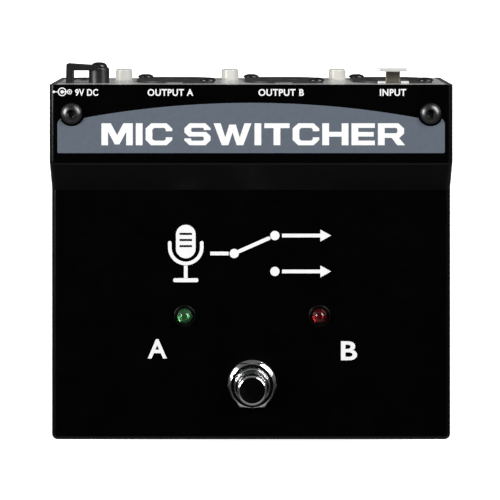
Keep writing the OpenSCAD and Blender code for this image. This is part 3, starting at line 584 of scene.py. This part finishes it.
# Block capitals on a unit height: each outline is (x, y, corner radius)
GLYPHS = {
    "M": (1.34, [[(0, 0, 0), (0, 1, 0), (0.40, 1, 0), (0.67, 0.46, 0), (0.94, 1, 0), (1.34, 1, 0), (1.34, 0, 0),
                  (1.06, 0, 0), (1.06, 0.62, 0), (0.77, 0.04, 0), (0.57, 0.04, 0), (0.28, 0.62, 0), (0.28, 0, 0)]]),
    "I": (0.29, [[(0, 0, 0), (0, 1, 0), (0.29, 1, 0), (0.29, 0, 0)]]),
    "C": (1.14, [[(1.14, 0.64, 0), (1.14, 1, 0.24), (0, 1, 0.24), (0, 0, 0.24), (1.14, 0, 0.24), (1.14, 0.36, 0),
                  (0.86, 0.36, 0), (0.86, 0.21, 0.06), (0.29, 0.21, 0.08), (0.29, 0.79, 0.08), (0.86, 0.79, 0.06),
                  (0.86, 0.64, 0)]]),
    "S": (1.12, [[(1.12, 0.69, 0), (1.12, 1, 0.22), (0, 1, 0.22), (0, 0.395, 0.19), (0.83, 0.395, 0.04),
                  (0.83, 0.205, 0.04), (0.29, 0.205, 0.04), (0.29, 0.31, 0), (0, 0.31, 0), (0, 0, 0.22),
                  (1.12, 0, 0.22), (1.12, 0.605, 0.19), (0.29, 0.605, 0.04), (0.29, 0.795, 0.04),
                  (0.83, 0.795, 0.04), (0.83, 0.69, 0)]]),
    "W": (1.62, [[(0, 1, 0), (0.30, 1, 0), (0.50, 0.36, 0), (0.67, 0.94, 0), (0.95, 0.94, 0), (1.12, 0.36, 0),
                  (1.32, 1, 0), (1.62, 1, 0), (1.27, 0, 0), (0.99, 0, 0), (0.81, 0.58, 0), (0.63, 0, 0),
                  (0.35, 0, 0)]]),
    "T": (1.08, [[(0, 1, 0), (1.08, 1, 0), (1.08, 0.78, 0), (0.685, 0.78, 0), (0.685, 0, 0), (0.395, 0, 0),
                  (0.395, 0.78, 0), (0, 0.78, 0)]]),
    "H": (1.12, [[(0, 0, 0), (0, 1, 0), (0.29, 1, 0), (0.29, 0.61, 0), (0.83, 0.61, 0), (0.83, 1, 0), (1.12, 1, 0),
                  (1.12, 0, 0), (0.83, 0, 0), (0.83, 0.39, 0), (0.29, 0.39, 0), (0.29, 0, 0)]]),
    "E": (1.00, [[(0, 0, 0), (0, 1, 0), (1.0, 1, 0), (1.0, 0.79, 0), (0.29, 0.79, 0), (0.29, 0.605, 0),
                  (0.95, 0.605, 0), (0.95, 0.395, 0), (0.29, 0.395, 0), (0.29, 0.21, 0), (1.0, 0.21, 0),
                  (1.0, 0, 0)]]),
    "R": (1.16, [[(0, 0, 0), (0, 1, 0), (1.12, 1, 0.24), (1.12, 0.335, 0.2), (0.90, 0.335, 0.0), (1.16, 0, 0),
                  (0.83, 0, 0), (0.59, 0.335, 0), (0.29, 0.335, 0), (0.29, 0, 0)],
                 [(0.29, 0.79, 0), (0.83, 0.79, 0.05), (0.83, 0.545, 0.05), (0.29, 0.545, 0)]]),
}


def rounded_loop(points, cut=7):
    out = []
    n = len(points)
    for i, (x, y, r) in enumerate(points):
        if r <= 0:
            out.append((x, y))
        else:
            a, c = points[i - 1], points[(i + 1) % n]
            out += round_corner((a[0], a[1]), (x, y), (c[0], c[1]), r, cut)
    return out


def block_text(words, x0, x1, y0, y1, gap=0.13, space=0.52):
    """Outlines of block capitals that fill the box; the letters keep their proportions to within the fit."""
    pen, loops = 0.0, []
    for ch in words:
        if ch == " ":
            pen += space - gap
            continue
        w, shapes = GLYPHS[ch]
        loops += [[(pen + x, y) for x, y in rounded_loop(s, 1)] for s in shapes]
        pen += w + gap
    total = pen - gap
    return [[(x0 + x / total * (x1 - x0), y0 + y * (y1 - y0)) for x, y in lp] for lp in loops]


TITLE_Y = (39.5, 46.75)
piece("title_print", solid_from_loops(block_text("MIC SWITCHER", -49.45, 50.85, *TITLE_Y), UP + T1 - 0.01, UP + T2),
      "ink_white", smooth=False)

# labels at the connectors, each centred on what it names
LY0, LY1 = 55.78, 58.08
labels = [
    ("9V DC", -58.15, -50.55, LY0, LY1, UP, 0.24),
    ("OUTPUT A", middle("output_a_shell").x - 8.6, middle("output_a_shell").x + 6.5, LY0, LY1, UP, 0.24),
    ("OUTPUT B", middle("output_b_shell").x - 8.57, middle("output_b_shell").x + 6.43, LY0, LY1, UP, 0.24),
    ("INPUT", middle("input_shell").x - 5.05, middle("input_shell").x + 3.61, LY0, LY1, UP, 0.24),
    ("A", -34.55, -28.15, -32.5, -26.05, LOW, 0.22),
    ("B", 30.05, 35.45, -33.1, -26.75, LOW, 0.22),
]
small = [text_solid(w, (x0, x1, y0, y1), z + T0, z + T2, weight) for w, x0, x1, y0, y1, z, weight in labels]
piece("label_print", join(*small), "ink_white", smooth=False)

# centre-negative polarity: minus dot, open ring round the pin, plus dot
px, py = -62.45, 57.15
flat = (UP + T0, UP + T2)
polarity = [
    solid_from_loops([circle(px, py, 1.42, 40), circle(px, py, 1.09, 40)], *flat),
    solid_from_loops([circle(px, py, 0.55, 24)], *flat),
    solid_from_loops([[(px - 2.35, py - 0.14), (px - 1.40, py - 0.14), (px - 1.40, py + 0.14), (px - 2.35, py + 0.14)]], *flat),
    solid_from_loops([circle(px - 2.75, py, 0.40, 20)], *flat),
    solid_from_loops([[(px + 0.50, py - 0.14), (px + 1.95, py - 0.14), (px + 1.95, py + 0.14), (px + 0.50, py + 0.14)]],
                     flat[0], flat[1] - 0.01),
    solid_from_loops([circle(px + 2.45, py, 0.84, 24), circle(px + 2.45, py, 0.58, 24)], *flat),
    solid_from_loops([[(px + 2.00, py - 0.09), (px + 2.90, py - 0.09), (px + 2.90, py + 0.09), (px + 2.00, py + 0.09)]], *flat),
    solid_from_loops([[(px + 2.36, py - 0.40), (px + 2.54, py - 0.40), (px + 2.54, py + 0.40), (px + 2.36, py + 0.40)]],
                     flat[0], flat[1] - 0.01),
]
piece("polarity_print", join(*polarity), "ink_white", smooth=False)

# pictogram: a microphone, a two-way switch and its two outputs
cx, cy = middle("footswitch_cap").x, 1.6
mx = cx - 22.2
mic = [
    rounded_loop([(mx - 3.3, cy - 0.6, 3.25), (mx + 3.3, cy - 0.6, 3.25), (mx + 3.3, cy + 10.6, 3.25),
                  (mx - 3.3, cy + 10.6, 3.25)]),
]
cradle = [(mx - 5.35, cy + 4.6), (mx - 5.35, cy + 3.0)] + \
    [(mx + 5.35 * math.cos(math.radians(a)), cy + 3.0 + 5.35 * math.sin(math.radians(a))) for a in range(190, 351, 10)] + \
    [(mx + 5.35, cy + 3.0), (mx + 5.35, cy + 4.6)]
stem = [(mx - 0.62, cy - 7.2), (mx + 0.62, cy - 7.2), (mx + 0.62, cy - 3.05), (mx - 0.62, cy - 3.05)]
foot = rounded_loop([(mx - 4.2, cy - 8.6, 0.6), (mx + 4.2, cy - 8.6, 0.6), (mx + 4.2, cy - 7.25, 0.6),
                     (mx - 4.2, cy - 7.25, 0.6)])
hub = (cx - 6.0, cy + 1.0)
up_c, dn_c = (cx + 7.6, cy + 7.0), (cx + 7.6, cy - 5.0)
lead = [(mx + 8.2, hub[1] - 0.62), (hub[0] - 1.9, hub[1] - 0.62), (hub[0] - 1.9, hub[1] + 0.62), (mx + 8.2, hub[1] + 0.62)]


def arrow(x, y, x_end, w=0.62, head=2.0):
    return [(x, y - w), (x_end - 3.6, y - w), (x_end - 3.6, y - head), (x_end, y), (x_end - 3.6, y + head),
            (x_end - 3.6, y + w), (x, y + w)]


d = (Vector(up_c) - Vector(hub)).normalized()
lever = stroke([tuple(Vector(hub) + d * 1.9), tuple(Vector(up_c) - d * 2.3)], 1.25)
marks = [[stroke(cradle, 1.2)], [stem], [foot], [lead], [circle(*hub, 1.55, 36)], [lever],
         [circle(*up_c, 1.55, 36)], [circle(*dn_c, 1.55, 36)],
         [arrow(up_c[0] + 2.4, up_c[1], cx + 26.4)], [arrow(dn_c[0] + 2.4, dn_c[1], cx + 26.4)]]
# grille lines cut out of the microphone head
for k in range(3):
    yy = cy + 3.1 + 2.05 * k
    mic.append([(mx - 2.1, yy), (mx + 2.1, yy), (mx + 2.1, yy + 0.72), (mx - 2.1, yy + 0.72)])
marks.append(mic)
# neighbours that touch differ a little in height, so that no two faces share a plane
function = [solid_from_loops(m, LOW + T0, LOW + T2 - 0.003 * (k % 3)) for k, m in enumerate(marks)]
piece("function_print", join(*function), "ink_white", smooth=False)

# ---------------------------------------------------------------------------
# lamps: lead frame and reflector cup cast inside each lens
# ---------------------------------------------------------------------------

for tag in ("green", "red"):
    lo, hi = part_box("led_" + tag)
    c = (lo + hi) / 2 * 1000
    top = hi.z * 1000
    bm = bmesh.new()
    z = top - 4.6
    lathe(bm, [(0, -0.9), (0.62, -0.9), (0.62, -0.1), (1.02, 0.55), (0.93, 0.55), (0.48, 0.0), (0, 0.0)],
          (c.x - 0.25, c.y, z), 32)
    a = bmesh.ops.create_cube(bm, size=1.0)["verts"]
    for v in a:
        v.co = Vector(((c.x - 0.45 + v.co.x * 0.5), (c.y + v.co.y * 0.45), (z - 2.3 + v.co.z * 2.8))) * MM
    a = bmesh.ops.create_cube(bm, size=1.0)["verts"]
    for v in a:
        v.co = Vector(((c.x + 1.15 + v.co.x * 0.5), (c.y + v.co.y * 0.45), (z - 1.5 + v.co.z * 3.6))) * MM
    piece(f"lamp_frame_{tag}", bm, "die_metal", weld=False)

# small earthing tab folded over the top edge of each output flange
for tag in ("a", "b"):
    lo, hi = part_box(f"output_{tag}_shell")
    cxm, back = (lo.x + hi.x) * 500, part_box("base_chassis")[1].y * 1000
    bm = bmesh.new()
    v0 = bmesh.ops.create_cube(bm, size=1.0)["verts"]
    for v in v0:
        v.co = Vector((cxm + v.co.x * 5.7, back + 0.19 + v.co.y * 0.42, hi.z * 1000 + 0.04 + v.co.z * 0.16)) * MM
    piece(f"output_{tag}_earth_tab", bm, "zinc_plate", smooth=False)

# ---------------------------------------------------------------------------
# footswitch spring: a coil built in place of the CAD spring, at one fixed length
# ---------------------------------------------------------------------------

s_lo, s_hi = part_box("footswitch_spring")
wire = 0.32
mean_r = (s_hi.x - s_lo.x) * 500 - wire
scx, scy = (s_lo.x + s_hi.x) * 500, (s_lo.y + s_hi.y) * 500
z0, z1, turns, per, rim = s_lo.z * 1000 + wire, s_hi.z * 1000 - wire, 7.0, 36, 10
bm = bmesh.new()
rings = []
count = int(turns * per)
for i in range(count + 1):
    t = i / count
    a = 2 * math.pi * turns * t
    # closed ends: the first and last turn lie nearly flat
    e = 1.0 / turns
    if t < e:
        zz = z0 + 0.04 * (t / e) * (z1 - z0)
    elif t > 1 - e:
        zz = z1 - 0.04 * ((1 - t) / e) * (z1 - z0)
    else:
        zz = z0 + (0.04 + 0.92 * (t - e) / (1 - 2 * e)) * (z1 - z0)
    ring_v = []
    for k in range(rim):
        q = 2 * math.pi * k / rim
        r = mean_r + wire * math.cos(q)
        ring_v.append(bm.verts.new(((scx + r * math.cos(a)) * MM, (scy + r * math.sin(a)) * MM,
                                    (zz + wire * math.sin(q)) * MM)))
    rings.append(ring_v)
for a, c in zip(rings, rings[1:]):
    for k in range(rim):
        bm.faces.new((a[k], a[(k + 1) % rim], c[(k + 1) % rim], c[k]))
bm.faces.new(rings[0][::-1])
bm.faces.new(rings[-1])
coil = piece("footswitch_coil", bm, "spring_steel")
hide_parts("footswitch_spring")
travel = next(j for j in frame["joints"] if j["name"] == "footswitch_press")
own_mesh(coil)

# ---------------------------------------------------------------------------
# floor, light and sky
# ---------------------------------------------------------------------------

FLOOR_DIM = 0.16
bm = bmesh.new()
bmesh.ops.create_grid(bm, x_segments=1, y_segments=1, size=6.0)
me = bpy.data.meshes.new("floor")
bm.to_mesh(me)
bm.free()
floor = bpy.data.objects.new("floor", me)
scene.collection.objects.link(floor)
floor.location.z = -0.0002
b = Build("floor_paper")
b.colour(b.ramp(b.noise(60, 3.0), [(0.3, (0.86, 0.86, 0.86)), (0.7, (0.88, 0.88, 0.88))]))
b.rough(0.9)
b.bump((b.noise(1.5, 3.0), 0.01))
b.set("Emission Color", (1.0, 1.0, 1.0, 1.0))
b.set("Emission Strength", 0.91)
b.set("Specular IOR Level", 0.1)
# the white paper is only for the lens: reflections and bounces get a dim grey surround
lp = b.nt.nodes.new("ShaderNodeLightPath")
dim = b.nt.nodes.new("ShaderNodeEmission")
dim.inputs["Color"].default_value = (1.0, 1.0, 1.0, 1.0)
dim.inputs["Strength"].default_value = FLOOR_DIM
pick = b.nt.nodes.new("ShaderNodeMixShader")
b.link(lp.outputs["Is Camera Ray"], pick.inputs[0])
b.link(dim.outputs[0], pick.inputs[1])
b.link(b.bsdf.outputs[0], pick.inputs[2])
b.link(pick.outputs[0], b.nt.nodes["Material Output"].inputs["Surface"])
b.m.cycles.emission_sampling = "NONE"
me.materials.append(b.m)


def area_light(name, loc, target, size, power, shape="RECTANGLE", size_y=None, camera=False):
    data = bpy.data.lights.new(name, "AREA")
    data.shape = shape
    data.size = size
    if size_y:
        data.size_y = size_y
    data.energy = power
    o = bpy.data.objects.new(name, data)
    o.location = loc
    o.rotation_mode = "QUATERNION"
    o.rotation_quaternion = (Vector(target) - Vector(loc)).to_track_quat("-Z", "Y")
    o.visible_camera = camera
    scene.collection.objects.link(o)
    return o


area_light("box_left", (-0.67, 0.22, 0.52), (0, 0, 0.03), 0.40, 7.4, size_y=0.30)
area_light("box_right", (0.57, 0.42, 0.52), (0, 0, 0.03), 0.66, 8.0, size_y=0.30)

world = bpy.data.worlds.new("studio")
scene.world = world
world.use_nodes = True
nt = world.node_tree
nt.nodes.clear()
out = nt.nodes.new("ShaderNodeOutputWorld")
tc = nt.nodes.new("ShaderNodeTexCoord")
sep = nt.nodes.new("ShaderNodeSeparateXYZ")
nt.links.new(tc.outputs["Generated"], sep.inputs[0])


def world_ramp(fac, stops):
    r = nt.nodes.new("ShaderNodeValToRGB")
    els = r.color_ramp.elements
    while len(els) < len(stops):
        els.new(0.5)
    for e, (p, c) in zip(els, stops):
        e.position = p
        e.color = (c, c, c, 1.0)
    nt.links.new(fac, r.inputs["Fac"])
    return r.outputs["Color"]


# seen in reflections: dim at the horizon, a bright belt, a black ceiling round the camera
front = world_ramp(sep.outputs["Z"], [(0.0, 0.055), (0.10, 0.055), (0.30, 0.38), (0.62, 0.38), (0.74, 0.03), (0.84, 0.002)])
back = world_ramp(sep.outputs["Z"], [(0.0, 0.30), (0.15, 0.30), (0.40, 0.14), (0.72, 0.12), (0.82, 0.002)])
y_fac = nt.nodes.new("ShaderNodeMapRange")
for i, x in zip(("From Min", "From Max", "To Min", "To Max"), (-0.15, 0.25, 0.0, 1.0)):
    y_fac.inputs[i].default_value = x
nt.links.new(sep.outputs["Y"], y_fac.inputs["Value"])
# the belt fades out towards both sides
ax = nt.nodes.new("ShaderNodeMath")
ax.operation = "ABSOLUTE"
nt.links.new(sep.outputs["X"], ax.inputs[0])
side = nt.nodes.new("ShaderNodeMapRange")
for i, x in zip(("From Min", "From Max", "To Min", "To Max"), (0.62, 0.80, 1.0, 0.12)):
    side.inputs[i].default_value = x
nt.links.new(ax.outputs[0], side.inputs["Value"])
dimmed = nt.nodes.new("ShaderNodeVectorMath")
dimmed.operation = "SCALE"
nt.links.new(front, dimmed.inputs[0])
nt.links.new(side.outputs["Result"], dimmed.inputs["Scale"])
front = dimmed.outputs[0]
mixc = nt.nodes.new("ShaderNodeMix")
mixc.data_type = "RGBA"
nt.links.new(y_fac.outputs["Result"], next(s for s in mixc.inputs if s.identifier == "Factor_Float"))
nt.links.new(front, next(s for s in mixc.inputs if s.identifier == "A_Color"))
nt.links.new(back, next(s for s in mixc.inputs if s.identifier == "B_Color"))
gloss = nt.nodes.new("ShaderNodeBackground")
nt.links.new(next(s for s in mixc.outputs if s.identifier == "Result_Color"), gloss.inputs["Color"])
plain = nt.nodes.new("ShaderNodeBackground")
plain.inputs["Color"].default_value = (0.93, 0.935, 0.94, 1)
path = nt.nodes.new("ShaderNodeLightPath")
m2 = nt.nodes.new("ShaderNodeMixShader")
nt.links.new(path.outputs["Is Camera Ray"], m2.inputs[0])
nt.links.new(gloss.outputs[0], m2.inputs[1])
nt.links.new(plain.outputs[0], m2.inputs[2])
nt.links.new(m2.outputs[0], out.inputs["Surface"])

scene.view_settings.view_transform = "Standard"
scene.view_settings.look = "None"
scene.view_settings.exposure = 0.0
scene.view_settings.gamma = 1.0

# ---------------------------------------------------------------------------
# camera: straight above the rear edge, looking down, frame moved towards the front by lens shift
# ---------------------------------------------------------------------------

cam_data = bpy.data.cameras.new("photo_camera")
cam = bpy.data.objects.new("photo_camera", cam_data)
scene.collection.objects.link(cam)
scene.camera = cam
CAM = (0.0, 0.0964, 0.7408)
cam.location = CAM
cam.rotation_euler = (0, 0, 0)
cam_data.lens = 150.36
cam_data.sensor_width = 36.0
cam_data.clip_start = 0.05
cam_data.clip_end = 20.0
for prop, value in (("shift_x", -0.0022), ("shift_y", -0.554)):
    drv = cam_data.driver_add(prop).driver
    drv.type = "SCRIPTED"
    for k, (axis_name, channel) in enumerate((("y", "LOC_Y"), ("z", "LOC_Z"))):
        var = drv.variables.new()
        var.name = axis_name
        var.type = "TRANSFORMS"
        var.targets[0].id = cam
        var.targets[0].transform_type = channel
        var.targets[0].transform_space = "WORLD_SPACE"
    drv.expression = f"{value} if z > {CAM[2] - 0.001} and z < {CAM[2] + 0.001} and y > {CAM[1] - 0.001} and y < {CAM[1] + 0.001} else 0"
